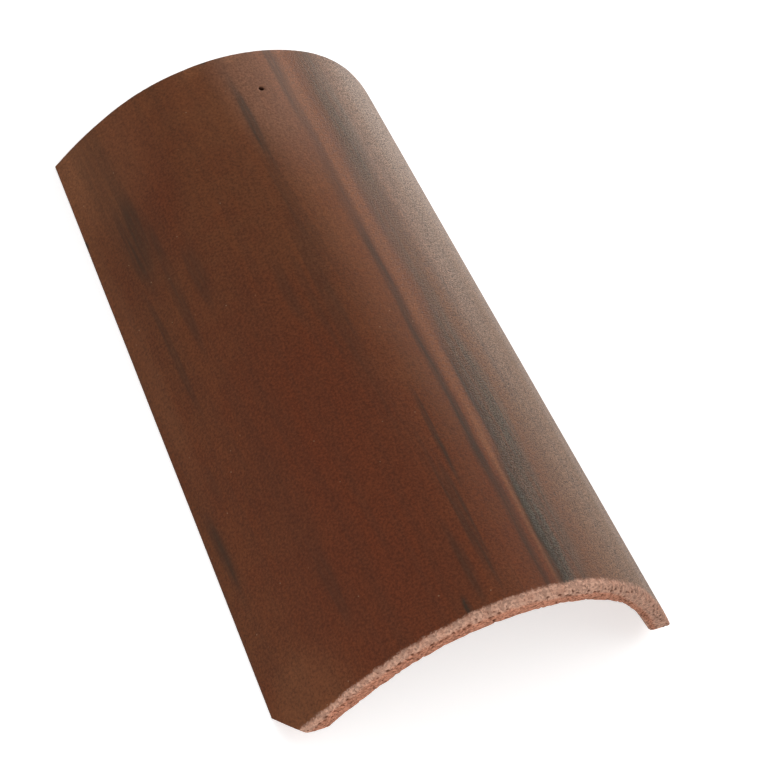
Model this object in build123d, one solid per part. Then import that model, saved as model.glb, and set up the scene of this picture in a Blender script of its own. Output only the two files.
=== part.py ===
from build123d import *
import math
import os

# Tapered half-round ridge tile, lying on its two long bottom edges. Sizes in mm.
# The tile runs along Y with the wide nose at -Y and the narrow head at +Y. The
# origin is the middle of the footprint, at floor level.

LENGTH = 420.0
NOSE_WIDTH = 256.0
NOSE_HEIGHT = 109.0
HEAD_WIDTH = 226.0
HEAD_HEIGHT = 82.0
LAP = 75.0

CROWN_RADIUS = 110.5
CROWN_HALF_ANGLE = 50.0
WALL = 12.5
FOOT_WIDTH = 14.5

NOSE_ROUND = 5.0
CORNER_CLIP_LENGTH = 22.0
CORNER_CLIP_HEIGHT = 18.5

NAIL_HOLE_DIAMETER = 4.0
NAIL_HOLE_FROM_HEAD = 31.5

NOSE_Y = -LENGTH / 2
HEAD_Y = LENGTH / 2
LAP_Y = HEAD_Y - LAP


def arch_face(y, wall=0.0, foot=0.0):
    """Upright arch at one place along the tile, closed by a line on the floor.

    Its width and height change evenly from the nose to the head. The crown is
    an arc whose radius is the same all along the tile. From each end of the
    crown a flank arc runs on without a kink down to the foot. wall lowers the
    crown, and foot brings each foot in, which gives the hollow's arch.
    """
    along = (y - NOSE_Y) / LENGTH
    top = NOSE_HEIGHT + (HEAD_HEIGHT - NOSE_HEIGHT) * along - wall
    half_width = (NOSE_WIDTH + (HEAD_WIDTH - NOSE_WIDTH) * along) / 2 - foot
    radius = CROWN_RADIUS - wall
    turn = math.radians(CROWN_HALF_ANGLE)
    crown_x = radius * math.sin(turn)
    crown_z = top - radius + radius * math.cos(turn)
    crown = ThreePointArc((-crown_x, crown_z), (0, top), (crown_x, crown_z))
    right_flank = TangentArc((crown_x, crown_z), (half_width, 0), tangent=crown % 1)
    left_flank = right_flank.mirror(Plane.YZ)
    floor_line = Line((-half_width, 0), (half_width, 0))
    outline = make_face([left_flank, crown, right_flank, floor_line])
    upright = Plane(origin=(0, y, 0), x_dir=(1, 0, 0), z_dir=(0, -1, 0))
    return upright * outline


# Outer form, with a section where the lap under the next tile begins. The rim
# of its nose is rounded, apart from the line on the floor.
tile = loft([arch_face(y) for y in (NOSE_Y, LAP_Y, HEAD_Y)], ruled=True)
nose_rim = tile.faces().sort_by(Axis.Y)[0].edges().filter_by(GeomType.CIRCLE)
tile = fillet(nose_rim, NOSE_ROUND)

# The hollow goes right through, so it starts and stops past both ends.
hollow_ends = (NOSE_Y - WALL, LAP_Y, HEAD_Y + WALL)
tile -= loft([arch_face(y, WALL, FOOT_WIDTH) for y in hollow_ends], ruled=True)

# Both bottom corners of the nose are cut off on one slant, so only the rest of
# the long edges touches the floor.
slant = Polyline(
    (NOSE_Y + CORNER_CLIP_LENGTH, 0),
    (NOSE_Y - CORNER_CLIP_LENGTH, 2 * CORNER_CLIP_HEIGHT),
    (NOSE_Y - CORNER_CLIP_LENGTH, 0),
    close=True,
)
tile -= extrude(Plane.YZ * make_face(slant), amount=NOSE_WIDTH, both=True)

# Upright nail hole through the crown, in the lap.
nail_hole = Cylinder(NAIL_HOLE_DIAMETER / 2, 2 * NOSE_HEIGHT)
tile -= Pos(0, HEAD_Y - NAIL_HOLE_FROM_HEAD, NOSE_HEIGHT) * nail_hole

tile = tile.solid()
tile.label = "ridge_tile"

os.makedirs("parts", exist_ok=True)
export_step(tile, "parts/ridge_tile.step")
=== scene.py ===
import math
from types import SimpleNamespace

import bmesh
import bpy
import numpy as np
from bpy.props import FloatProperty, FloatVectorProperty, PointerProperty
from mathutils import Matrix, Vector


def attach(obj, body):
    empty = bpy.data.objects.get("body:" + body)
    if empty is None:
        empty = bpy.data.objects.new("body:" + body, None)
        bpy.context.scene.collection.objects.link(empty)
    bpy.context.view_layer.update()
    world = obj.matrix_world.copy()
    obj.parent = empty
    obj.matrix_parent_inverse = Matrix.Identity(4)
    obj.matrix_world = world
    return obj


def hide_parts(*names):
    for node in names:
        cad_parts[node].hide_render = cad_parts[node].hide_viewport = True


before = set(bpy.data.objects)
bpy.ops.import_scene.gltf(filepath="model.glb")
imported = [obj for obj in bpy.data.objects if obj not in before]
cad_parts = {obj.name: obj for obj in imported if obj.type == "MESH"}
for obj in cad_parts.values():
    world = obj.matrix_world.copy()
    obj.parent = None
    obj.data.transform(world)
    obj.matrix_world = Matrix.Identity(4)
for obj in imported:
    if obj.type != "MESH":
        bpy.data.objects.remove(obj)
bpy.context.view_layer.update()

bl_info = {
    "name": "Ridge tile",
    "version": (1, 0, 0),
    "blender": (4, 5, 0),
    "location": "View3D > Sidebar > Ridge tile",
    "description": "A half-round concrete ridge tile with a streaked slurry coat, on a pale studio floor",
    "category": "Object",
}

# The grid round the tile's wall: steps along the arch and across each foot, and
# how many fine steps at the nose stand on one coarse step of the body.
ARCH_STEPS = 136
FOOT_STEPS = 6
FINE = 4

# Half the side, in cells, of the squares that the grid leaves out at the nail hole.
HOLE_CELLS = 3

# In mm: how far apart the rows stand along the body and along the nose, the
# arris that rounds both edges of each foot, and about how far it is from the
# crown along the arch to a foot, which sets how near its corner the arris starts.
BODY_ROW = 2.6
NOSE_ROW = 0.7
ARRIS = 0.8
CROWN_TO_FOOT = 172
ARRIS_SHARE = 1 - ARRIS / CROWN_TO_FOOT

# The seam that closes the nose's end face, as a share of the wall, and what the
# nose's round loses of its radius beside the feet.
NOSE_SEAM = 0.68
ROUND_LOSS = 0.67

# In mm: how deep the largest pits go, how much the nose's inner edge has
# crumbled, and how high the coat stands in a ring round the nail hole.
PIT_DEPTH = 0.95
CRUMBLE = 0.4
COAT_RING = 0.08

# Edges with a sharper bend than this stay sharp in the shading.
SHARP_ANGLE = math.radians(65)

# A Mix node's colour sockets, which have the same names as its other ones: its
# two inputs and its output.
MIX_A, MIX_B, MIX_OUT = 6, 7, 2

# The setting that gives a Map Range node an even S instead of a straight ramp.
SMOOTH = {"interpolation_type": "SMOOTHSTEP"}

# Softboxes: name, place and size in m, and power in W. All look at one place.
SOFTBOXES = [
    ("low_softbox_back_right", (1.0, 0.66, 0.24), (1.0, 0.4), 14.6),
    ("high_softbox_front_right", (0.5, -0.4, 1.3), (1.0, 1.0), 4.5),
    ("low_softbox_front", (-0.75, -1.25, 0.6), (1.2, 0.7), 8.4),
]
SOFTBOX_TARGET = (0, 0, 0.05)

# What the coat's spray left, as spindles drawn out along the tile. Each has the
# place of its middle (mm along the arch from the crown, mm along the tile), its
# half width and half length in mm, its lean in degrees, and its strength. First
# come thin streaks of darker pigment.
BROWN_STREAKS = [
    (-16.5, 154.0, 3.8, 52.0, 0.0, 0.75),
    (-18.0, 140.0, 8.0, 60.0, 0.0, 0.15),
    (-19.0, 85.0, 4.5, 75.0, -1.2, 0.22),
    (-14.0, 60.0, 3.0, 60.0, -2.0, 0.2),
    (-25.0, 15.0, 7.0, 120.0, 1.0, 0.25),
    (-34.0, 20.0, 4.0, 55.0, 0.0, 0.2),
    (15.5, 110.0, 5.5, 240.0, 0.8, 0.35),
    (15.8, 205.0, 3.6, 60.0, 0.0, 0.4),
    (12.8, -60.0, 3.6, 190.0, 0.8, 0.45),
    (10.8, -135.0, 4.2, 130.0, 0.7, 0.4),
    (-8.0, -90.0, 2.8, 50.0, 0.8, 0.65),
    (-14.5, -150.0, 3.4, 62.0, 0.8, 0.55),
    (-18.0, -135.0, 2.4, 60.0, 0.0, 0.45),
    (-28.0, -175.0, 5.0, 38.0, 0.0, 0.4),
    (-37.5, -200.0, 3.2, 9.0, 0.0, 0.75),
    # This dark spot at the head's edge is painted shade: the shadow in a notch that the relief does not cut.
    (-26.0, 209.0, 3.0, 2.5, 0.0, 0.8),
    (-118.0, 165.0, 19.0, 80.0, 0.0, 0.28),
    (-114.0, 120.0, 17.0, 48.0, 0.0, 0.42),
    (-121.0, 100.0, 5.0, 36.0, 0.0, 0.25),
    (-127.0, 40.0, 4.0, 62.0, 0.0, 0.4),
    (-89.0, 72.0, 7.0, 36.0, 0.0, 0.35),
    (-107.0, 60.0, 5.5, 45.0, 0.0, 0.35),
    (-104.0, 88.0, 4.5, 45.0, 0.0, 0.3),
    (-151.0, 148.0, 2.5, 4.0, 0.0, 0.9),
    (-45.0, 30.0, 5.0, 30.0, 0.0, 0.25),
    (-157.0, -85.0, 6.0, 36.0, 0.0, 0.55),
    (-142.0, -45.0, 5.0, 22.0, 0.0, 0.25),
    (-101.0, -150.0, 6.0, 40.0, 0.0, 0.25),
    (22.5, -178.0, 6.4, 82.0, 0.5, 1.0),
    (27.0, -80.0, 4.0, 75.0, 0.5, 0.6),
    (61.0, -45.0, 3.0, 50.0, 0.0, 0.3),
    (68.0, -75.0, 3.5, 45.0, 0.0, 0.25),
    (56.0, 5.0, 3.5, 40.0, 0.0, 0.25),
    (123.0, -183.0, 4.0, 8.0, 0.0, 0.5),
]
# The broad granular band to the right of the crown.
GREY_STREAKS = [
    (44.0, 165.0, 15.0, 90.0, 0.0, 0.55),
    (38.0, 70.0, 13.0, 120.0, 0.0, 0.4),
    (36.0, -68.0, 13.0, 105.0, 0.5, 0.55),
    (34.0, -150.0, 13.0, 100.0, 0.0, 0.5),
    (42.0, -70.0, 8.0, 50.0, 0.0, 0.35),
    (25.5, -168.0, 7.5, 75.0, 0.0, 0.7),
]
# Paler and warmer bands between the streaks and at the head. The broad patches at the head's left are partly
# painted light.
WARM_AND_LIT_PATCHES = [
    (22.5, 60.0, 6.5, 330.0, 0.8, 0.3),
    (18.5, -150.0, 3.0, 110.0, 0.8, 0.4),
    (-9.0, 204.0, 6.0, 4.0, 0.0, 0.5),
    (4.0, 160.0, 30.0, 260.0, 0.0, 0.22),
    (-34.0, 210.0, 16.0, 11.0, 0.0, 0.35),
    (-10.0, 240.0, 70.0, 170.0, 0.0, 0.3),
    # These two patches are partly painted light: they lighten the coat at the head's left as if more light
    # fell there from the left and the back.
    (-115.0, 200.0, 60.0, 90.0, 0.0, 0.35),
    (-142.0, 205.0, 26.0, 70.0, 0.0, 0.4),
    (-152.0, 70.0, 16.0, 150.0, 0.0, 0.25),
    (-145.0, -200.0, 40.0, 45.0, 0.0, 0.25),
]
# The duller, granular coat of the right flank, partly dust and partly painted sheen that makes the whole
# flank paler and greyer.
DUST_AND_SHEEN_PATCHES = [
    (118.0, 0.0, 110.0, 900.0, 0.0, 0.4),
]
# Painted sheen: pale patches, most of them on the right flank, that stand in for the coat's pale sheen in
# grazing light;
# the one over the crown at the head stands in for its haze there.
PAINTED_SHEEN_PATCHES = [
    (118.0, 240.0, 64.0, 320.0, 0.0, 0.24),
    (110.0, -100.0, 76.0, 500.0, 0.0, 0.1),
    (66.0, 120.0, 27.0, 220.0, 0.0, 0.1),
    (0.0, 210.0, 34.0, 130.0, 0.0, 0.06),
    (118.0, -130.0, 28.0, 230.0, 0.0, 0.12),
]
# Where the coat is redder, most of it on the left flank.
RED_PATCHES = [
    (-92.0, 160.0, 27.0, 80.0, 0.0, 0.6),
    (-82.0, -105.0, 90.0, 200.0, 0.0, 0.5),
    (-55.0, -80.0, 60.0, 170.0, 0.0, 0.5),
    (-72.0, -180.0, 75.0, 80.0, 0.0, 0.35),
    (0.0, -170.0, 40.0, 110.0, 0.0, 0.3),
    (-150.0, -20.0, 20.0, 120.0, 0.0, 0.15),
]


def length_size(name, value, note):
    """A size that a user may change, stored in metres."""
    return FloatProperty(name=name, description=note, default=value, min=0.0, unit="LENGTH", precision=4)


def colour(name, value, note):
    """A colour that a user may change, given as sRGB hex and stored linear."""
    return FloatVectorProperty(
        name=name, description=note, default=linear(value), size=4, min=0.0, max=1.0, subtype="COLOR"
    )


def linear(value):
    """An sRGB hex colour such as #6b412b as linear red, green, blue and alpha."""
    parts = [int(value[i : i + 2], 16) / 255 for i in (1, 3, 5)]
    return tuple(p / 12.92 if p <= 0.04045 else ((p + 0.055) / 1.055) ** 2.4 for p in parts) + (1.0,)


class RidgeTileSizes(bpy.types.PropertyGroup):
    """Sizes of the tile, the same as in the CAD model."""

    length: length_size("Length", 0.420, "Nose to head")
    nose_width: length_size("Nose width", 0.256, "Width of the wide end on the floor")
    nose_height: length_size("Nose height", 0.109, "Height of the wide end")
    head_width: length_size("Head width", 0.226, "Width of the narrow end on the floor")
    head_height: length_size("Head height", 0.082, "Height of the narrow end")
    crown_radius: length_size("Crown radius", 0.1105, "Radius of the arc over the top, the same all along")
    crown_angle: FloatProperty(
        name="Crown half angle",
        description="How far the crown's arc goes to each side",
        default=math.radians(50),
        min=0.1,
        max=1.5,
        subtype="ANGLE",
    )
    wall: length_size("Wall", 0.0125, "Thickness over the crown")
    foot_width: length_size("Foot width", 0.0145, "Width of each long edge on the floor")
    nose_round: length_size("Nose round", 0.005, "Radius of the nose's outer rim")
    clip_length: length_size("Corner clip length", 0.022, "Length of the slant at the nose's corners")
    clip_height: length_size("Corner clip height", 0.0185, "Height of the slant at the nose's corners")
    hole: length_size("Nail hole", 0.004, "Diameter of the nail hole")
    hole_from_head: length_size("Nail hole from head", 0.0315, "From the head's end to the hole's middle")


class RidgeTileFinish(bpy.types.PropertyGroup):
    """Colours of the coat and of the concrete under it."""

    coat: colour("Coat", "#6b3d24", "The slurry coat's brown")
    coat_red: colour("Redder coat", "#612e1a", "Patches where the coat is redder")
    # Partly painted light: some patches of this colour lighten the coat at the head's left.
    coat_warm_and_lit: colour("Warmer coat", "#8c5a3b", "Paler, warmer bands between the streaks")
    # Partly painted sheen: this paler colour over the right flank stands in for dust and for the sheen that
    # light gives it.
    coat_dust_and_sheen: colour("Dusty coat", "#7a6447", "The duller coat on the right flank")
    # Painted sheen: this pale colour stands in for the coat's pale sheen in grazing light.
    painted_sheen_colour: colour("Bloom", "#c8bdb4", "Pale lime bloom on the coat")
    brown_streak: colour("Brown streaks", "#352b22", "Thin dark streaks")
    grey_streak: colour("Grey streaks", "#50483d", "The broad granular band")
    speck: colour("Specks", "#a98467", "Pale grains that break through the coat")
    skin: colour("Cement skin", "#c29883", "The pale sandy band round the nose")
    concrete: colour("Open concrete", "#bb8067", "Pigmented concrete where the section is open")
    # Painted shade: this dark colour goes into the pits, the pores of the open concrete and the nail hole's
    # bore, where shade falls.
    pit_shade: colour("Pits", "#522f20", "The bottoms of the pits")
    roughness: FloatProperty(
        name="Coat roughness",
        description="How matt the coat is",
        default=0.6,
        min=0.0,
        max=1.0,
        subtype="FACTOR",
    )


def in_mm(sizes):
    """The sizes in millimetres, and the crown's angle in radians."""
    names = [n for n in sizes.__annotations__ if n != "crown_angle"]
    return SimpleNamespace(angle=sizes.crown_angle, **{n: getattr(sizes, n) * 1000 for n in names})


def ease(low, high, value):
    """0 below low, 1 above high, with an even S between them."""
    part = np.clip((value - low) / (high - low), 0.0, 1.0)
    return part * part * (3 - 2 * part)


def arch(form, share, along, wall, foot):
    """Place on one arch: x, z and the length along the arch from the crown, in mm.

    The arch's height and width change evenly from nose to head. share goes from
    -1 at the left foot over 0 at the crown to 1 at the right foot. Up to the
    crown's angle the arch is an arc of the crown's radius. From there a flank
    arc with the same tangent runs down to half the width on the floor. At the
    nose the arch ends on the slant, and the cubed share keeps the crown's part
    of the grid where it is.
    """
    part = (along + form.length / 2) / form.length
    top = form.nose_height + (form.head_height - form.nose_height) * part - wall
    half_width = (form.nose_width + (form.head_width - form.nose_width) * part) / 2 - foot
    radius = form.crown_radius - wall
    sine, cosine = math.sin(form.angle), math.cos(form.angle)
    crown_x = radius * sine
    crown_z = top - radius + radius * cosine
    reach = half_width - crown_x
    chord = np.hypot(reach, crown_z)
    bend = np.arcsin((cosine * crown_z - sine * reach) / chord)
    flank = chord / (2 * np.sin(bend))
    slant = form.clip_height * np.clip(1 - (along + form.length / 2) / form.clip_length, 0, None)
    full = radius * form.angle + 2 * bend * flank
    kept = radius * form.angle + flank * (np.arccos(cosine - (crown_z - slant) / flank) - form.angle)
    run = share * full - np.sign(share) * (full - kept) * np.abs(share) ** 3
    far = np.abs(run)
    on_flank = far > radius * form.angle
    turn = np.where(on_flank, form.angle + (far - radius * form.angle) / flank, far / radius)
    x = np.where(on_flank, crown_x + flank * (np.sin(turn) - sine), radius * np.sin(turn))
    z = np.where(on_flank, crown_z + flank * (np.cos(turn) - cosine), top - radius + radius * np.cos(turn))
    return np.sign(run) * x, z, run


def in_wall(form, share, along, depth):
    """Columns x, y, z, run, along, depth of places in the wall.

    depth 0 is the outer face and 1 the hollow's, and a place between them lies
    on the straight line from one to the other at the same share of the arch.
    """
    share, along, depth = np.broadcast_arrays(share, along, depth)
    out_x, out_z, run = arch(form, share, along, 0.0, 0.0)
    in_x, in_z, _ = arch(form, share, along, form.wall, form.foot_width)
    x = out_x + (in_x - out_x) * depth
    z = out_z + (in_z - out_z) * depth
    return np.stack([x, along, z, run, along, depth], -1)


def foot_band(form, side, rows, steps):
    """A foot from the outer face to the hollow: flat, with a small rounded arris on both edges.

    steps runs from 0 to 1 across the foot. Each arris is a three-point curve
    from the face over the sharp corner to the flat, and the flat is a straight
    line between the two.
    """
    out_y, out_d, in_y, in_d = rows(np.full((1, 1), float(side)))
    step = steps[None, :, None]
    first_half = steps[1 : len(steps) // 2]
    edge = first_half[np.argmin(np.abs(first_half - ARRIS / form.foot_width))]
    out_face = in_wall(form, side * ARRIS_SHARE, out_y, out_d)
    in_face = in_wall(form, side * ARRIS_SHARE, in_y, in_d)
    out_corner = in_wall(form, float(side), out_y, out_d)
    in_corner = in_wall(form, float(side), in_y, in_d)
    out_flat = out_corner + (in_corner - out_corner) * edge
    in_flat = in_corner + (out_corner - in_corner) * edge
    first = np.clip(step / edge, 0, 1)
    last = np.clip((1 - step) / edge, 0, 1)
    flat = np.clip((step - edge) / (1 - 2 * edge), 0, 1)
    start = (1 - first) ** 2 * out_face + 2 * first * (1 - first) * out_corner + first**2 * out_flat
    end = (1 - last) ** 2 * in_face + 2 * last * (1 - last) * in_corner + last**2 * in_flat
    middle = out_flat + (in_flat - out_flat) * flat
    return np.where(step < edge, start, np.where(step > 1 - edge, end, middle))


def wall_rings(form, rows, arch_steps, foot_steps):
    """Closed rings round the wall's section, one for each row.

    rows gives, for a share of the arch, the place along the tile and the depth
    of each row's outer line and of its inner line. A ring goes along the outer
    line from left to right, over the right foot, back along the inner line and
    over the left foot to where it started.
    """
    share = np.linspace(-ARRIS_SHARE, ARRIS_SHARE, arch_steps + 1)[None, :]
    out_y, out_d, in_y, in_d = rows(share)
    outer = in_wall(form, share, out_y, out_d)
    inner = in_wall(form, -share, in_y, in_d)
    right = foot_band(form, 1, rows, foot_steps)[:, 1:-1]
    left = foot_band(form, -1, rows, foot_steps)[:, ::-1][:, 1:-1]
    return np.concatenate([outer, right, inner, left, outer[:, :1]], axis=1)


def coarse_rows(form):
    """Rows from the seam in the middle of the head's end face, over its edges, to the nose's slant.

    The outer and the inner line mirror each other. They stop one row short of
    the slant, where the band to the nose's grid starts.
    """
    end = form.length / 2
    seam_d = [0.5, 0.36, 0.22, 0.08, 0.023, 0.0]
    seam_y = [end, end, end, end, end - 0.3, end - 1.0]
    stop = form.clip_length - end + BODY_ROW
    body = np.linspace(seam_y[-1], stop, int((seam_y[-1] - stop) / BODY_ROW))[1:]
    along = np.concatenate([seam_y, body])[:, None]
    depth = np.concatenate([seam_d, np.zeros(len(body))])[:, None]
    return lambda share: (along, depth, along, 1 - depth)


def fine_rows(form):
    """Rows from the slant over the nose's round to the seam in its end face, inside and outside.

    An outer line runs straight to the start of the round, turns with the round's
    radius, and crosses the end face to the seam. The radius falls to a third
    beside the feet, where the pressed corner is sharper.
    """
    end = -form.length / 2
    start = form.clip_length + end
    rim = form.nose_round
    flat_rows = int((start - end - rim) / NOSE_ROW) + 1
    turn_rows = int(rim * math.pi / 2 / NOSE_ROW)
    face_rows = 5
    flat = np.concatenate([np.linspace(0, 1, flat_rows), np.ones(turn_rows + face_rows)])[:, None]
    turn = np.linspace(0, math.pi / 2, turn_rows + 1)[1:]
    turn = np.concatenate([np.zeros(flat_rows), turn, np.full(face_rows, math.pi / 2)])[:, None]
    face = np.linspace(0, 1, face_rows + 1)[1:]
    face = np.concatenate([np.zeros(flat_rows + turn_rows), face])[:, None]
    edge_y = [end + 0.5, end + 0.13, end]
    edge_d = [0.99, 0.96, 0.92]
    inside = flat_rows + turn_rows - len(edge_y)
    face_d = np.linspace(edge_d[-1], NOSE_SEAM, face_rows + 1)[1:]
    in_y = np.concatenate([np.linspace(start, end + 1.0, inside), edge_y, np.full(face_rows, end)])[:, None]
    in_d = np.concatenate([np.ones(inside), edge_d, face_d])[:, None]

    def rows(share):
        radius = rim * (1 - ROUND_LOSS * ease(0.84, 0.99, np.abs(share)))
        out_y = start + flat * (end + radius - start) - radius * np.sin(turn)
        out_d = radius / form.wall * (1 - np.cos(turn)) * (1 - face) + NOSE_SEAM * face
        return out_y, out_d, in_y, in_d

    return rows


def grid_faces(rows, columns, first=0, skip=None):
    """Four corners of each cell of a grid, as indices, without the cells that skip marks."""
    index = first + np.arange(rows * columns).reshape(rows, columns)
    cells = np.stack([index[:-1, :-1], index[:-1, 1:], index[1:, 1:], index[1:, :-1]], -1)
    return cells.reshape(-1, 4) if skip is None else cells[~skip]


def square_round(rings, row, column, centre):
    """The grid's places round a square of cells, as a closed ring.

    They are sorted by their angle round the hole's middle, and the first one
    comes again at the end.
    """
    half = HOLE_CELLS
    span = np.arange(-half, half)
    side = np.full(2 * half, half)
    rows = np.concatenate([-side, span, side, -span])
    columns = np.concatenate([span, side, -span, -side])
    places = rings[row + rows, column + columns]
    order = np.argsort(np.arctan2(places[:, 1] - centre, places[:, 0]))
    return places[np.append(order, order[0])]


def hole_walls(form, outer, inner):
    """The nail hole: a round lip in the outer face, the bore, and a lip in the hollow.

    The coat swells and then narrows the mouth. outer and inner are the squares
    left out of the grid. A ring between a square and the hole is a straight
    blend of the two. The bore is a circle at every depth, and its height is the
    crown arc's at that depth. Each ring has its share of the circle in that
    blend, what its radius gains in mm, and its depth in the wall.
    """
    centre = form.length / 2 - form.hole_from_head
    radius = form.hole / 2
    blend = np.array([0, 0.35, 0.6, 0.78, 0.9, 1, 1, 1, 1, 1, 1, 1, 1, 1, 1, 0.85, 0.5, 0])
    swell = np.array([0, 0, 0, 0, 0, 0.3, -0.05, -0.3, -0.3, 0, 0, 0, 0.1, 0.35, 0.8, 0, 0, 0])
    depth = np.array([0, 0, 0, 0, 0, 0, 0.012, 0.04, 0.1, 0.35, 0.6, 0.85, 0.95, 0.985, 1, 1, 1, 1])
    in_upper_half = np.arange(len(blend)) < len(blend) // 2
    square = np.where(in_upper_half[:, None, None], outer[None], inner[None])
    turn = np.arctan2(square[..., 1] - centre, square[..., 0])
    reach = radius + swell[:, None]
    share = blend[:, None]
    x = square[..., 0] * (1 - share) + reach * np.cos(turn) * share
    y = square[..., 1] * (1 - share) + (centre + reach * np.sin(turn)) * share
    deep = depth[:, None] + 0 * x
    part = (y + form.length / 2) / form.length
    top = form.nose_height + (form.head_height - form.nose_height) * part - form.wall * deep
    bow = form.crown_radius - form.wall * deep
    z = top - bow + np.sqrt(bow**2 - x**2)
    walls = np.stack([x, y, z, x, y, deep], -1)
    walls[0], walls[-1] = outer, inner
    return walls


def lattice(points, seed):
    """Smooth noise from -1 to 1.

    Each corner of a lattice of unit cubes has a fixed random height, and a
    place takes a smooth blend of the eight round it.
    """
    table = np.random.default_rng(seed).uniform(-1, 1, (32, 32, 32))
    cell = np.floor(points).astype(int)
    part = points - cell
    part = part * part * (3 - 2 * part)
    total = np.zeros(len(points))
    for corner in np.ndindex(2, 2, 2):
        weight = np.prod(np.where(corner, part, 1 - part), axis=1)
        total += weight * table[tuple(((cell + corner) % 32).T)]
    return total


def pits(points, seed, small, large):
    """Depth from 0 to 1 of scattered round pits.

    Each cube of a unit lattice holds one pit at a random place, with a random
    radius between small and large. The pit is a bowl: one less the square of
    the distance over the radius.
    """
    rng = np.random.default_rng(seed)
    places = rng.uniform(0, 1, (32, 32, 32, 3))
    radii = rng.uniform(small, large, (32, 32, 32))
    cell = np.floor(points).astype(int)
    deepest = np.zeros(len(points))
    for step in np.ndindex(3, 3, 3):
        near = cell + np.array(step) - 1
        key = tuple((near % 32).T)
        off = points - near - places[key]
        bowl = 1 - (off**2).sum(1) / radii[key] ** 2
        deepest = np.maximum(deepest, bowl)
    return deepest


def relief(form, place, normal, run, along, depth):
    """Moves each place along its normal by the relief there.

    Returns the places, how much coat covers each one, how much cement skin, and
    how much painted shade it takes: how deep in a pit it is, and all of it in
    the nail hole's bore. Over the coat the relief is a slow waviness drawn out
    along the tile. Round the nose come lumps of 7 and 3 mm, a ragged inner edge,
    and pits that are drawn out along the arch. The feet stay on the floor. All
    lengths are in mm.
    """
    nose = -form.length / 2
    head = form.length / 2

    # Where a place lies, each from 0 to 1: on the outer face, in the hollow, in
    # the wall between them, round the nose, and on the nose's or head's end face.
    outside = 1 - ease(0.01, 0.06, depth)
    inside = ease(0.9, 0.99, depth)
    between = (1 - outside) * (1 - inside)
    rim = ease(nose + 12, nose + 4, along)
    end_face = ease(nose + 3.0, nose + 1.0, along) * ease(0.08, 0.22, depth)
    head_face = ease(head - 1.2, head - 0.2, along)
    across = np.stack([run, depth * form.wall, along], 1)
    drawn_out = np.stack([run * 0.6, depth * form.wall, along], 1)

    # Each noise is its height times a lattice whose cubes have the size given.
    wave = 0.22 * lattice(across / [38, 60, 150], 1) + 0.1 * lattice(across / [14, 30, 60], 2)
    lumps = 0.14 * lattice(place / 7.0, 3) + 0.06 * lattice(place / 3.1, 4)
    rough = 0.07 * lattice(place / 1.6, 5)

    # The coat ends a few mm behind the nose, on a ragged border that is soft on
    # the right flank. The cement skin goes on from there into the end face.
    border = nose + 4.6 + 2.4 * ease(-130, 10, run) - 2.8 * ease(35, 80, run)
    border += 0.7 * lattice(place / 9, 6) + 0.5 * lattice(place / 3, 7)
    fade = 3.2 + 5.5 * ease(35, 80, run)
    coat = outside * ease(-1, 1, (along - border) / fade)
    deeper = 0.2 * ease(-20, 30, run) + 0.3 * ease(50, 90, run)
    skin = 1 - ease(0.08, 0.26, depth + 0.06 * lattice(place / 4, 8) - deeper) * (1 - inside)
    skin = np.maximum(skin, inside * ease(nose + 2, nose + 6, along))

    # Open pits lie in the end faces and in the bore, and small ones round the rim. How deep a place lies in
    # a pit both sinks the relief and sets how much shade the material paints there.
    open_pits = pits(drawn_out / 1.9, 9, 0.2, 0.62)
    small_pits = pits(across / 2.2, 10, 0.05, 0.42)
    open_share = np.clip(end_face + head_face * between * 0.6 + between * (along < nose + 24) * 0.5, 0, 1)
    rim_share = rim * (1 - coat) * (1 - end_face) * (1 - inside)
    pit_shade = np.clip(open_pits * open_share + small_pits * rim_share * 0.8, 0, 1)
    pit_shade = np.maximum(pit_shade, small_pits * between * 0.6)
    # The nail hole's bore, in the wall near the hole's middle, takes full painted shade.
    far = np.hypot(place[:, 0], along - (head - form.hole_from_head))
    bore = between * (far < 2 * form.hole)

    edge = np.hypot(along - nose, (1 - depth) * form.wall) / 1.6
    ragged = np.exp(-(edge**2)) * np.clip(0.5 + 1.1 * lattice(place / 4.5, 11), 0, 1.4)
    lift = wave * outside * (1 - rim * 0.7) + lumps * rim * np.maximum(1 - inside, 0.4)
    lift += rough * np.maximum(rim * (1 - coat), between) - PIT_DEPTH * pit_shade - CRUMBLE * ragged
    lift += 0.25 * lattice(across / [9, 20, 120], 12) * inside * (1 - rim)

    # Round the nail hole the coat stands up in a low ring and is a little worn.
    lift += outside * COAT_RING * np.exp(-(((far - 3.6) / 1.1) ** 2))
    coat *= 1 - 0.2 * np.exp(-(((far - 3.9) / 1.2) ** 2)) * outside

    moved = place + normal * lift[:, None]
    moved[:, 2] = np.maximum(moved[:, 2], 0.0)
    return moved, coat, skin, np.maximum(pit_shade, bore)


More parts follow.
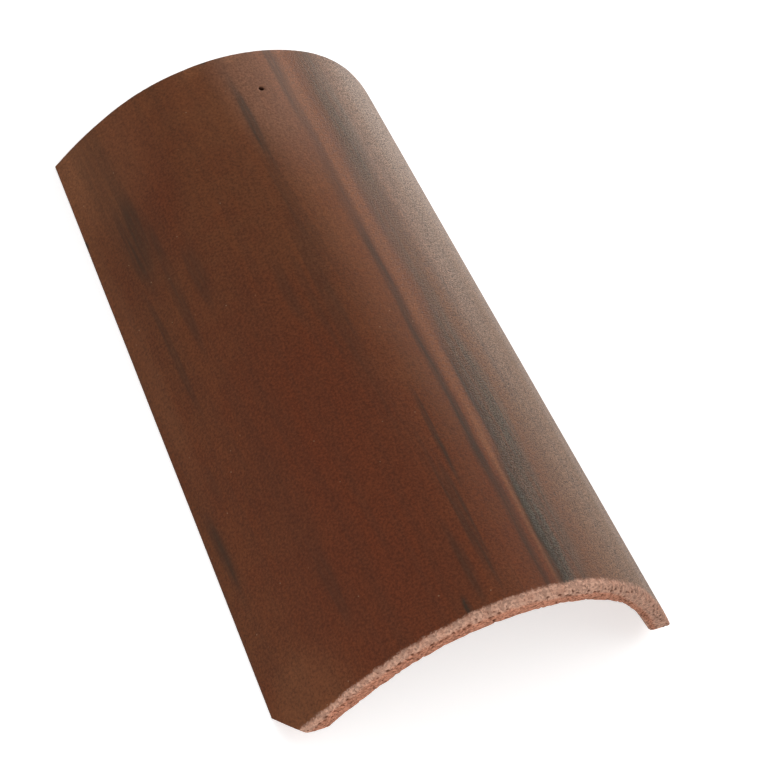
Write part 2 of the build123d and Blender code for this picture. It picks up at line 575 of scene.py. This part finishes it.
def ridge_tile_mesh(form):
    """The tile's closed skin: two grids of rings, a band between them, and the nail hole's walls.

    The body's grid is coarse, and the nose's has FINE steps for each of its
    steps. In the band between them each coarse step and its fine ones share
    one face.
    """
    edge = ARRIS / form.foot_width
    feet = np.array([0, edge, 0.29, 0.5, 0.71, 1 - edge, 1])
    fine_steps = np.linspace(0, FOOT_STEPS, FOOT_STEPS * FINE + 1)
    fine_feet = np.interp(fine_steps, np.arange(FOOT_STEPS + 1), feet)
    body = wall_rings(form, coarse_rows(form), ARCH_STEPS, feet)
    nose = wall_rings(form, fine_rows(form), ARCH_STEPS * FINE, fine_feet)

    centre = form.length / 2 - form.hole_from_head
    row = int(np.argmin(np.abs(body[:, 0, 1] - centre)))
    crown_columns = (ARCH_STEPS // 2, ARCH_STEPS + FOOT_STEPS + ARCH_STEPS // 2)
    skip = np.zeros((body.shape[0] - 1, body.shape[1] - 1), bool)
    for column in crown_columns:
        skip[row - HOLE_CELLS : row + HOLE_CELLS, column - HOLE_CELLS : column + HOLE_CELLS] = True
    walls = hole_walls(form, *(square_round(body, row, column, centre) for column in crown_columns))

    parts = [body, nose, walls]
    starts = np.cumsum([0] + [part.shape[0] * part.shape[1] for part in parts])
    columns = np.concatenate([part.reshape(-1, 6) for part in parts])
    faces = grid_faces(*body.shape[:2], starts[0], skip).tolist()
    faces += grid_faces(*nose.shape[:2], starts[1]).tolist()
    faces += grid_faces(*walls.shape[:2], starts[2])[:, ::-1].tolist()
    last = (body.shape[0] - 1) * body.shape[1]
    step = np.arange(body.shape[1] - 1)
    band = [last + step, last + step + 1] + [starts[1] + FINE * (step + 1) - k for k in range(FINE + 1)]
    faces += np.stack(band, 1).tolist()

    mesh = bpy.data.meshes.new("ridge_tile_skin")
    mesh.from_pydata((columns[:, :3] / 1000).tolist(), [], faces)
    for name, column in (("run", 3), ("along", 4), ("depth", 5)):
        mesh.attributes.new(name, "FLOAT", "POINT").data.foreach_set("value", columns[:, column])
    close_up(mesh)
    return mesh


def close_up(mesh):
    """Joins the grids' shared places, which closes the seams, and points every face outwards."""
    work = bmesh.new()
    work.from_mesh(mesh)
    bmesh.ops.remove_doubles(work, verts=work.verts, dist=2e-6)
    bmesh.ops.recalc_face_normals(work, faces=work.faces)
    open_edges = sum(1 for edge in work.edges if not edge.is_manifold)
    work.to_mesh(mesh)
    work.free()
    if open_edges:
        raise RuntimeError(f"the tile's skin has {open_edges} open edges")


def numbers(data, name, width):
    """A property of every item of a mesh's collection, as an array with width numbers for each."""
    values = np.empty(len(data) * width, np.float32)
    data.foreach_get(name, values)
    return values.reshape(-1, width).astype(float) if width > 1 else values.astype(float)


def put_relief(form, mesh):
    """Gives the closed skin its relief, its coat, skin and painted pit shade values, and its UV map.

    The map is the tile unrolled, in m: the length along the arch, and the place
    along the tile less how deep it lies in the wall. The streaks follow it.
    """
    place = numbers(mesh.vertices, "co", 3) * 1000
    normal = numbers(mesh.vertices, "normal", 3)
    run, along, depth = (numbers(mesh.attributes[n].data, "value", 1) for n in ("run", "along", "depth"))
    moved, coat, skin, pit_shade = relief(form, place, normal, run, along, depth)
    mesh.vertices.foreach_set("co", (moved / 1000).ravel())
    for name, values in (("coat", coat), ("skin", skin), ("pit_shade", pit_shade)):
        mesh.attributes.new(name, "FLOAT", "POINT").data.foreach_set("value", values)
    corner = numbers(mesh.loops, "vertex_index", 1).astype(int)
    unrolled = np.stack([run, along - depth * form.wall], 1)[corner] / 1000
    mesh.uv_layers.new(name="unrolled").uv.foreach_set("vector", unrolled.ravel())
    for name in ("run", "along", "depth"):
        mesh.attributes.remove(mesh.attributes[name])
    mesh.polygons.foreach_set("use_smooth", np.ones(len(mesh.polygons), bool))
    mesh.set_sharp_from_angle(angle=SHARP_ANGLE)
    mesh.update()


def add(tree, kind, settings=None, links=None):
    """Adds one node.

    settings go to its own values or else to its sockets, and links says which
    output each socket takes.
    """
    new = tree.nodes.new(kind)
    for key, value in (settings or {}).items():
        if isinstance(key, str) and hasattr(new, key):
            setattr(new, key, value)
        else:
            new.inputs[key].default_value = value
    for key, source in (links or {}).items():
        tree.links.new(source, new.inputs[key])
    return new


def new_material(name):
    """An empty node material with its output."""
    material = bpy.data.materials.new(name)
    material.use_nodes = True
    material.node_tree.nodes.clear()
    return material, add(material.node_tree, "ShaderNodeOutputMaterial")


def streaks(tree, lay, records):
    """How much is covered by a set of streaks, from 0 to 1.

    Each streak is a spindle: in a frame that is centred on it, leans with it
    and is as wide and as long as it, the streak fades from its middle line to
    the unit circle. What the streaks leave bare is multiplied.
    """
    bare = add(tree, "ShaderNodeValue").outputs[0]
    bare.default_value = 1.0
    for across, along, half_width, half_length, lean, strength in records:
        frame_of_streak = {
            "vector_type": "TEXTURE",
            "Location": (across, along, 0),
            "Rotation": (0, 0, -math.radians(lean)),
            "Scale": (half_width, half_length, 1),
        }
        local = add(tree, "ShaderNodeMapping", frame_of_streak, {"Vector": lay})
        spindle = add(tree, "ShaderNodeTexGradient", {"gradient_type": "SPHERICAL"}, {0: local.outputs[0]})
        fade = {**SMOOTH, "From Max": 0.65, "To Min": 1.0, "To Max": 1 - strength}
        left = add(tree, "ShaderNodeMapRange", fade, {"Value": spindle.outputs["Fac"]})
        both = {0: bare, 1: left.outputs[0]}
        bare = add(tree, "ShaderNodeMath", {"operation": "MULTIPLY"}, both).outputs[0]
    return add(tree, "ShaderNodeMath", {"operation": "SUBTRACT", 0: 1.0}, {1: bare}).outputs[0]


def coated_concrete(finish):
    """Slurry-coated concrete: through-coloured and pressed, under a thin sprayed coat of cement and pigment.

    The coat gives the eye a fine grain with a dull satin gloss and darker
    pigment drawn out along the tile. The grain carries painted shade in its
    hollows and painted light on its tops. On the right flank the coat is paler
    and greyer, partly from dust and partly as painted sheen, and pale patches
    of painted sheen lie over it there and over the crown at the head. Some
    patches at the head's left are partly painted light. Where it ends, at the
    nose and on the end faces, the concrete is matt, sandy and open-pored, with
    painted shade in its pits and pores and in the nail hole's bore.
    """
    material, output = new_material("slurry_coated_concrete")
    tree = material.node_tree
    place = add(tree, "ShaderNodeTexCoord").outputs["Object"]
    unrolled = add(tree, "ShaderNodeUVMap", {"uv_map": "unrolled"}).outputs["UV"]
    # The coat, the cement skin, and the painted shade in pits and in the bore, as the relief set them.
    wear_and_shade = {
        name: add(tree, "ShaderNodeAttribute", {"attribute_name": name}).outputs["Fac"]
        for name in ("coat", "skin", "pit_shade")
    }

    # Where the coat's pigment lies, in mm along the arch and along the tile. The
    # wander bends the streaks a little, as the spray did: its bends are 55 mm
    # long, and it shifts a streak by up to 2.5 mm across and 11 mm along.
    wander = add(tree, "ShaderNodeTexNoise", {"Scale": 1000 / 55, "Detail": 5.0}, {"Vector": unrolled})
    settings = {"operation": "SCALE", "Scale": 1000.0}
    lay = add(tree, "ShaderNodeVectorMath", settings, {0: unrolled}).outputs[0]
    shift = wander.outputs["Color"]
    for operation, values in (("SUBTRACT", (0.5, 0.5, 0.5)), ("MULTIPLY", (5.0, 22.0, 0.0))):
        shift = add(tree, "ShaderNodeVectorMath", {"operation": operation, 1: values}, {0: shift}).outputs[0]
    lay = add(tree, "ShaderNodeVectorMath", {"operation": "ADD"}, {0: lay, 1: shift}).outputs[0]
    settings = {"operation": "MULTIPLY", 1: (1.0, 1.0, 0.0)}
    lay = add(tree, "ShaderNodeVectorMath", settings, {0: lay}).outputs[0]
    brown, grey, red, warm_and_lit, dust_and_sheen, painted_sheen = (
        streaks(tree, lay, records)
        for records in (BROWN_STREAKS, GREY_STREAKS, RED_PATCHES, WARM_AND_LIT_PATCHES, DUST_AND_SHEEN_PATCHES, PAINTED_SHEEN_PATCHES)
    )

    # Noise: where it is measured, the size of its features in mm, and its detail.
    # The sand in the coat is 0.2 to 0.5 mm, which is too fine to show in the
    # render, so the grain, the sanding and the dots are drawn at 1 to 1.5 mm.
    noise = {}
    for name, source, size, detail in (
        ("grain", place, (1.5, 1.5, 1.5), 5.0),
        ("mottle", place, (26.0, 26.0, 26.0), 3.0),
        ("drawn", unrolled, (9.0, 150.0, 9.0), 3.0),
        ("strands", unrolled, (3.0, 60.0, 3.0), 2.0),
        ("blotch", place, (6.0, 6.0, 6.0), 3.0),
        ("sanding", place, (1.0, 1.0, 1.0), 2.0),
        ("dots", place, (1.0, 1.0, 1.0), 1.0),
        ("pores", unrolled, (2.0, 0.9, 1.0), 2.0),
    ):
        scaled = add(tree, "ShaderNodeMapping", {"Scale": [1000 / s for s in size]}, {"Vector": source})
        settings = {"Scale": 1.0, "Detail": detail, "Roughness": 0.65}
        noise[name] = add(tree, "ShaderNodeTexNoise", settings, {"Vector": scaled.outputs[0]}).outputs["Fac"]

    # Cells round a scatter of points, with their mean spacing in mm: pale specks
    # in the coat, and the sand grains of the open concrete.
    cells = {}
    for name, spacing in (("specks", 12.0), ("sand", 1.3)):
        cells[name] = add(tree, "ShaderNodeTexVoronoi", {"Scale": 1000 / spacing}, {"Vector": place})
    sand_tint = add(tree, "ShaderNodeSeparateColor", {}, {0: cells["sand"].outputs["Color"]}).outputs[0]

    # Each pattern's smooth step: from low to high it goes from one value to another.
    step = {}
    for name, source, low, high, start, stop in (
        ("red mottle", noise["mottle"], 0.35, 0.7, 0.0, 0.35),
        ("drawn shade", noise["drawn"], 0.3, 0.7, 0.0, 0.22),
        ("strand", noise["strands"], 0.35, 0.62, 0.6, 1.15),
        ("brown grain", noise["grain"], 0.3, 0.6, 0.6, 1.15),
        ("grey grain", noise["grain"], 0.3, 0.6, 0.55, 1.15),
        ("value", noise["grain"], 0.25, 0.75, 0.66, 1.38),
        # Painted light and shade on the grain: the same noise as the bump's height darkens its hollows and
        # lightens its tops.
        ("painted_grain_shade", noise["sanding"], 0.38, 0.62, -0.32, 0.36),
        ("speck", cells["specks"].outputs["Distance"], 0.015, 0.05, 0.55, 0.0),
        ("dot", noise["dots"], 0.37, 0.47, 0.55, 0.0),
        ("pore", noise["pores"], 0.34, 0.46, 0.9, 0.0),
        ("sand value", sand_tint, 0.0, 1.0, 0.7, 1.25),
        ("blotch", noise["blotch"], 0.4, 0.7, 0.0, 0.35),
        # Painted shade in the pits and in the nail hole's bore.
        ("pit_shade", wear_and_shade["pit_shade"], 0.15, 0.8, 0.0, 0.85),
        ("open", wear_and_shade["skin"], 0.2, 0.9, 1.0, 0.42),
        ("rough grain", noise["grain"], 0.3, 0.7, -0.05, 0.08),
    ):
        settings = {**SMOOTH, "From Min": low, "From Max": high, "To Min": start, "To Max": stop}
        step[name] = add(tree, "ShaderNodeMapRange", settings, {"Value": source}).outputs[0]

    # The coat is granular in the grey band and on the right flank's patch of dust and painted sheen, which
    # counts
    # 2.5 times. After that the brown and the grey streaks split into strands.
    dust_and_sheen_weight = add(tree, "ShaderNodeMath", {"operation": "MULTIPLY", 1: 2.5}, {0: dust_and_sheen}).outputs[0]
    granular = add(tree, "ShaderNodeMath", {"operation": "MAXIMUM"}, {0: dust_and_sheen_weight, 1: grey}).outputs[0]
    brown, grey = (
        add(tree, "ShaderNodeMath", {"operation": "MULTIPLY"}, {0: cover, 1: step["strand"]}).outputs[0]
        for cover in (brown, grey)
    )

    # Products of two patterns.
    product = {}
    for name, first, second in (
        ("brown", brown, step["brown grain"]),
        ("grey", grey, step["grey grain"]),
        ("painted_grain_shade", granular, step["painted_grain_shade"]),
        ("dot", granular, step["dot"]),
        ("pore", step["open"], step["pore"]),
    ):
        settings = {"operation": "MULTIPLY"}
        product[name] = add(tree, "ShaderNodeMath", settings, {0: first, 1: second}).outputs[0]
    # The value is the grain's own tone plus the painted light and shade of the granular coat.
    links = {0: step["value"], 1: product["painted_grain_shade"]}
    value = add(tree, "ShaderNodeMath", {"operation": "ADD"}, links).outputs[0]

    # The coat, layer on layer.
    settings = {"data_type": "RGBA", MIX_A: tuple(finish.coat), MIX_B: tuple(finish.coat_red)}
    coated = add(tree, "ShaderNodeMix", settings, {0: step["red mottle"]}).outputs[MIX_OUT]
    for share, over in (
        (red, finish.coat_red),
        # Dust and painted sheen over the right flank.
        (dust_and_sheen, finish.coat_dust_and_sheen),
        # Warmer bands, partly painted light at the head's left.
        (warm_and_lit, finish.coat_warm_and_lit),
        (step["drawn shade"], finish.brown_streak),
        (product["brown"], finish.brown_streak),
        (product["grey"], finish.grey_streak),
        # Painted sheen.
        (painted_sheen, finish.painted_sheen_colour),
        (product["dot"], finish.brown_streak),
    ):
        settings = {"data_type": "RGBA", "clamp_factor": True, MIX_B: tuple(over)}
        coated = add(tree, "ShaderNodeMix", settings, {0: share, MIX_A: coated}).outputs[MIX_OUT]
    coated = add(tree, "ShaderNodeHueSaturation", {}, {"Color": coated, "Value": value}).outputs[0]
    settings = {"data_type": "RGBA", MIX_B: tuple(finish.speck)}
    coated = add(tree, "ShaderNodeMix", settings, {0: step["speck"], MIX_A: coated}).outputs[MIX_OUT]

    # Open concrete: sand grains of about 1 mm in a coloured binder, a pale
    # cement skin over the rounded nose, and dark pores and pits that are painted shade, as is the dark of
    # the nail hole's bore.
    settings = {"data_type": "RGBA", MIX_A: tuple(finish.concrete), MIX_B: tuple(finish.skin)}
    bare = add(tree, "ShaderNodeMix", settings, {0: wear_and_shade["skin"]}).outputs[MIX_OUT]
    bare = add(tree, "ShaderNodeHueSaturation", {}, {"Color": bare, "Value": step["sand value"]}).outputs[0]
    for share, over in (
        (step["blotch"], finish.concrete),
        (product["pore"], finish.pit_shade),
        (step["pit_shade"], finish.pit_shade),
    ):
        settings = {"data_type": "RGBA", MIX_B: tuple(over)}
        bare = add(tree, "ShaderNodeMix", settings, {0: share, MIX_A: bare}).outputs[MIX_OUT]

    # The coat's edge breaks up into grains, because noise is added to the cover
    # before the step that decides between coat and bare concrete.
    settings = {"operation": "MULTIPLY_ADD", 1: 1.1}
    broken = add(tree, "ShaderNodeMath", settings, {0: noise["grain"], 2: wear_and_shade["coat"]}).outputs[0]
    settings = {**SMOOTH, "From Min": 0.8, "From Max": 1.3}
    covered = add(tree, "ShaderNodeMapRange", settings, {"Value": broken}).outputs[0]
    links = {0: covered, MIX_A: bare, MIX_B: coated}
    final = add(tree, "ShaderNodeMix", {"data_type": "RGBA"}, links).outputs[MIX_OUT]

    # The grain stands up more where the coat is granular. The bump's distance of
    # 0.9 mm goes with the 1 mm that the grain is drawn at.
    settings = {"To Min": 0.25, "To Max": 2.0}
    depth = add(tree, "ShaderNodeMapRange", settings, {"Value": granular}).outputs[0]
    height = add(tree, "ShaderNodeMath", {"operation": "MULTIPLY"}, {0: noise["sanding"], 1: depth})
    settings = {"Strength": 0.85, "Distance": 0.0009}
    bump = add(tree, "ShaderNodeBump", settings, {"Height": height.outputs[0]}).outputs[0]

    # Open concrete is rougher than the coat.
    settings = {"To Min": 0.9, "To Max": finish.roughness}
    rough = add(tree, "ShaderNodeMapRange", settings, {"Value": covered}).outputs[0]
    rough = add(tree, "ShaderNodeMath", {"operation": "ADD"}, {0: rough, 1: step["rough grain"]}).outputs[0]
    shader = add(
        tree,
        "ShaderNodeBsdfPrincipled",
        {"IOR": 1.5, "Specular IOR Level": 0.12},
        {"Base Color": final, "Roughness": rough, "Normal": bump},
    )
    tree.links.new(shader.outputs[0], output.inputs["Surface"])
    return material


class RIDGE_OT_make_tile(bpy.types.Operator):
    """Makes the ridge tile's skin with its relief and its coat"""

    bl_idname = "ridge_tile.make_tile"
    bl_label = "Ridge tile"

    def execute(self, context):
        form = in_mm(context.scene.ridge_tile_sizes)
        mesh = ridge_tile_mesh(form)
        put_relief(form, mesh)
        mesh.materials.append(coated_concrete(context.scene.ridge_tile_finish))
        tile = bpy.data.objects.new("ridge_tile_skin", mesh)
        context.scene.collection.objects.link(tile)
        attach(tile, "root")
        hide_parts("ridge_tile")
        return {"FINISHED"}


def aim(position, target):
    """A frame at position that looks at target, with its own up as near to +Z as it can be."""
    back = (Vector(position) - Vector(target)).normalized()
    side = Vector((0, 0, 1)).cross(back).normalized()
    up = back.cross(side)
    turn = Matrix((side, up, back)).transposed().to_4x4()
    return Matrix.Translation(position) @ turn


class RIDGE_OT_set_stage(bpy.types.Operator):
    """Lays the pale floor and sets the soft studio light and the camera"""

    bl_idname = "ridge_tile.set_stage"
    bl_label = "Studio stage"

    def execute(self, context):
        scene = context.scene
        self.floor(scene)
        self.sky(scene)
        for name, position, size, power in SOFTBOXES:
            self.lamp(scene, name, position, size, power)
        self.camera(scene)
        scene.view_settings.view_transform = "Standard"
        return {"FINISHED"}

    def floor(self, scene):
        """A pale matt floor, 8 m square, that still shows the tile's shadow.

        A glow that only the camera sees lifts it to white.
        """
        mesh = bpy.data.meshes.new("studio_floor")
        half = 4.0
        corners = [(-half, -half, 0), (half, -half, 0), (half, half, 0), (-half, half, 0)]
        mesh.from_pydata(corners, [], [(0, 1, 2, 3)])
        material, output = new_material("matt_white_floor")
        tree = material.node_tree
        paper = add(tree, "ShaderNodeBsdfDiffuse", {"Color": linear("#ececec")})
        seen = add(tree, "ShaderNodeLightPath").outputs["Is Camera Ray"]
        glow = add(tree, "ShaderNodeEmission", {"Color": linear("#ffffff")})
        lift = add(tree, "ShaderNodeMath", {"operation": "MULTIPLY", 1: 0.5}, {0: seen})
        tree.links.new(lift.outputs[0], glow.inputs["Strength"])
        both = add(tree, "ShaderNodeAddShader", {}, {0: paper.outputs[0], 1: glow.outputs[0]})
        tree.links.new(both.outputs[0], output.inputs["Surface"])
        mesh.materials.append(material)
        floor = bpy.data.objects.new("studio_floor", mesh)
        scene.collection.objects.link(floor)

    def sky(self, scene):
        """An even soft sky. It lights the tile at 0.45, and the camera and reflections see it as white."""
        world = bpy.data.worlds.new("soft_white_sky")
        world.use_nodes = True
        tree = world.node_tree
        tree.nodes.clear()
        path = add(tree, "ShaderNodeLightPath").outputs
        links = {0: path["Is Camera Ray"], 1: path["Is Glossy Ray"]}
        seen = add(tree, "ShaderNodeMath", {"operation": "ADD"}, links)
        settings = {"operation": "ADD", "use_clamp": True}
        clear = add(tree, "ShaderNodeMath", settings, {0: seen.outputs[0], 1: path["Is Transmission Ray"]})
        level = add(tree, "ShaderNodeMapRange", {"To Min": 0.45, "To Max": 1.0}, {"Value": clear.outputs[0]})
        links = {"Strength": level.outputs[0]}
        back = add(tree, "ShaderNodeBackground", {"Color": linear("#ffffff")}, links)
        add(tree, "ShaderNodeOutputWorld", {}, {"Surface": back.outputs[0]})
        scene.world = world

    def lamp(self, scene, name, position, size, power):
        """A softbox that looks at the tile."""
        light = bpy.data.lights.new(name, "AREA")
        light.shape = "RECTANGLE"
        light.size, light.size_y = size
        light.energy = power
        lamp = bpy.data.objects.new(name, light)
        lamp.matrix_world = aim(position, SOFTBOX_TARGET)
        scene.collection.objects.link(lamp)

    def camera(self, scene):
        """The photograph's view: in front and to the left, well above, with the camera rolled."""
        target = Vector((0.02864, 0.00248, 0.0))
        azimuth, elevation, roll = math.radians(-42.52), math.radians(53.14), math.radians(22.75)
        distance = 1.5734
        level = math.cos(elevation)
        away = Vector((level * math.sin(azimuth), -level * math.cos(azimuth), math.sin(elevation)))
        lens = bpy.data.cameras.new("photo_camera")
        lens.lens = 119.67
        lens.sensor_width = 36.0
        camera = bpy.data.objects.new("photo_camera", lens)
        camera.matrix_world = aim(target + away * distance, target) @ Matrix.Rotation(roll, 4, "Z")
        scene.collection.objects.link(camera)
        scene.camera = camera


class RIDGE_PT_panel(bpy.types.Panel):
    """Sizes and colours of the ridge tile, and the buttons that make it"""

    bl_label = "Ridge tile"
    bl_idname = "RIDGE_PT_panel"
    bl_space_type = "VIEW_3D"
    bl_region_type = "UI"
    bl_category = "Ridge tile"

    def draw(self, context):
        for group in (context.scene.ridge_tile_sizes, context.scene.ridge_tile_finish):
            box = self.layout.box()
            for name in group.__annotations__:
                box.prop(group, name)
        for operator in OPERATORS:
            self.layout.operator(operator.bl_idname)


OPERATORS = (RIDGE_OT_make_tile, RIDGE_OT_set_stage)
CLASSES = (RidgeTileSizes, RidgeTileFinish) + OPERATORS + (RIDGE_PT_panel,)


def register():
    """Adds the classes to Blender, and the tile's sizes and finish to the scene."""
    for cls in CLASSES:
        bpy.utils.register_class(cls)
    bpy.types.Scene.ridge_tile_sizes = PointerProperty(type=RidgeTileSizes)
    bpy.types.Scene.ridge_tile_finish = PointerProperty(type=RidgeTileFinish)


def unregister():
    """Takes away what register added."""
    del bpy.types.Scene.ridge_tile_finish
    del bpy.types.Scene.ridge_tile_sizes
    for cls in reversed(CLASSES):
        bpy.utils.unregister_class(cls)


def main():
    """Makes the tile and its stage."""
    register()
    bpy.ops.ridge_tile.make_tile()
    bpy.ops.ridge_tile.set_stage()


if __name__ == "__main__":
    main()
